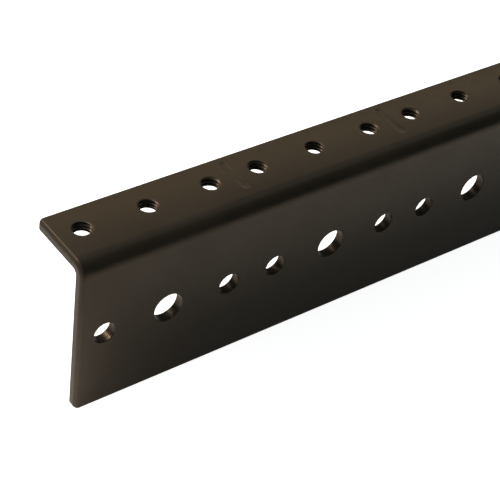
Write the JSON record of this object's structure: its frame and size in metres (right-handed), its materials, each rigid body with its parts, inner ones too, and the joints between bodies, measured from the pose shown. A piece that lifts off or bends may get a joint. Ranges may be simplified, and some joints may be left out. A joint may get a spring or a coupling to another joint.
{
  "type": "rack mounting rail",
  "caption": "Folded steel angle rail for a rack: a narrow flange with tapped holes at rack spacing and coined unit lines, and a wide flange with plain fixing holes.",
  "frame": {"origin": "mid-length, on the outer face of the wide fixing flange, level with its row of holes", "axes": "+X along the rail, +Y from the fixing face towards the narrow flange's free edge, +Z out of the panel face"},
  "size_m": [0.1778, 0.0179, 0.0405],
  "materials": {
    "black_coat": "satin black coat"
  },
  "bodies": {
    "root": {"rack_rail": "black_coat"}
  },
  "joints": []
}
